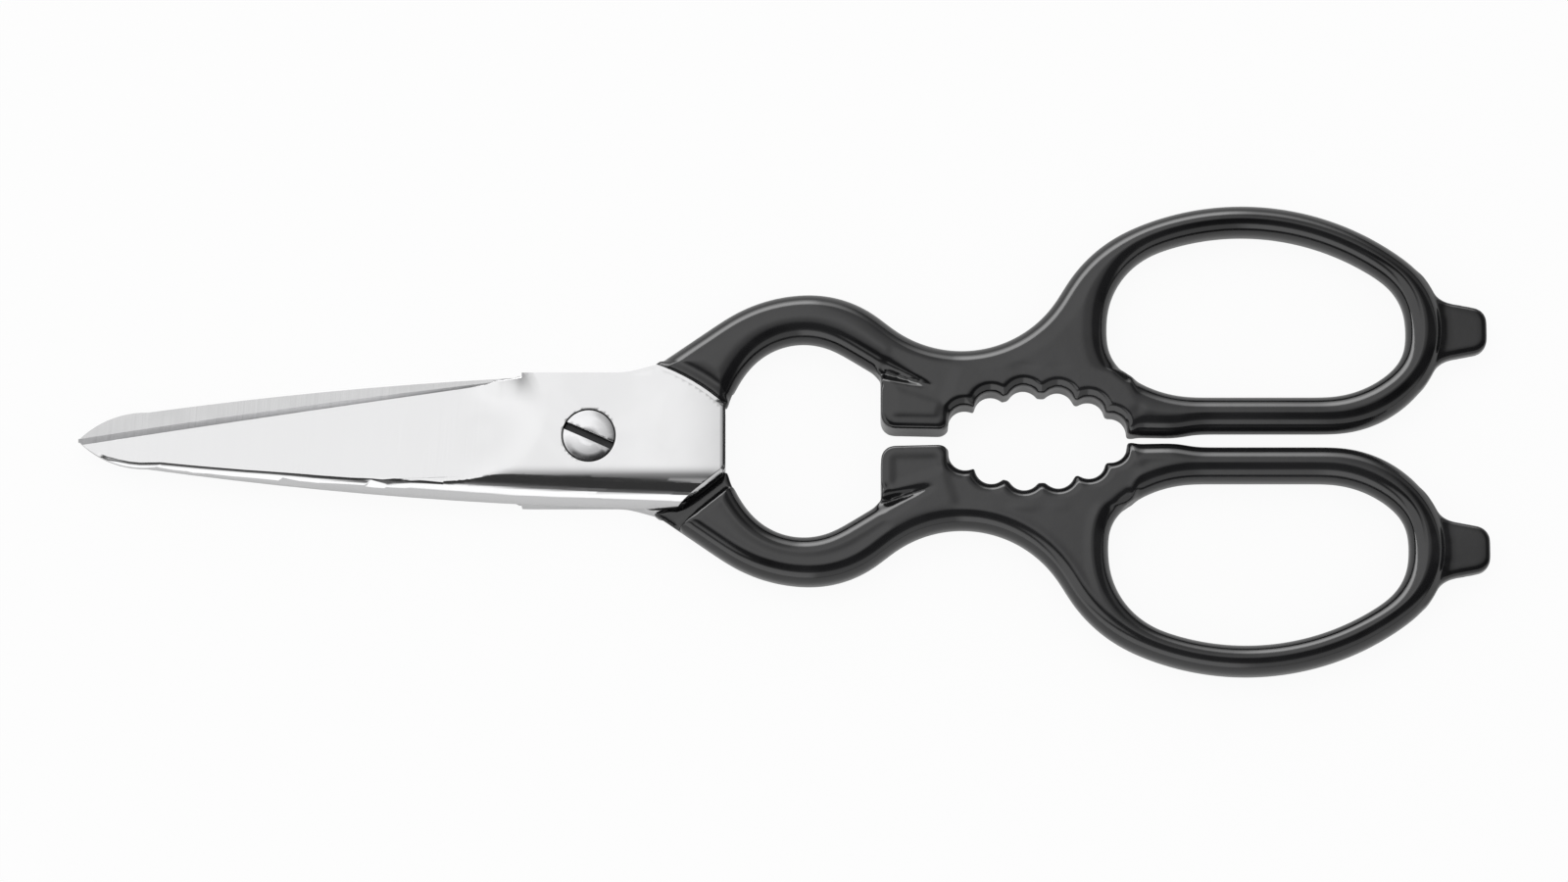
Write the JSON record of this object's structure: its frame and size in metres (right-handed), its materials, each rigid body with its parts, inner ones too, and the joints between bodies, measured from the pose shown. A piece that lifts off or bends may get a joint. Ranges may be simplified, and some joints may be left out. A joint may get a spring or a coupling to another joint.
{
  "type": "poultry shears",
  "caption": "Forged kitchen and poultry shears with steel blades, black enamelled bows, opener loop, scalloped nut cracker and slotted pivot screw.",
  "frame": {"origin": "centre of the closed shears' bounding box, in the outer face of the rear pivot plate that they lie on", "axes": "+X runs from the blade tips to the tongues of the finger rings, +Y to the front half's bow, +Z out of the front half's outer face along the pivot axis"},
  "size_m": [0.1998, 0.068, 0.0078],
  "materials": {
    "blade_steel": "fine ground stainless steel, polished on the pivot plate",
    "bow_enamel": "glossy black baked enamel",
    "screw_steel": "bright turned steel"
  },
  "bodies": {
    "rear_half": {"rear_blade": "blade_steel", "rear_bow": "bow_enamel", "pivot_screw": "screw_steel"},
    "front_half": {"front_blade": "blade_steel", "front_bow": "bow_enamel"}
  },
  "joints": [
    {"name": "blade_pivot", "type": "hinge", "parent": "rear_half", "child": "front_half", "pos_m": [-0.0275, 0, 0.00385], "axis": [0, 0, 1], "range_deg": [0, 105]}
  ]
}
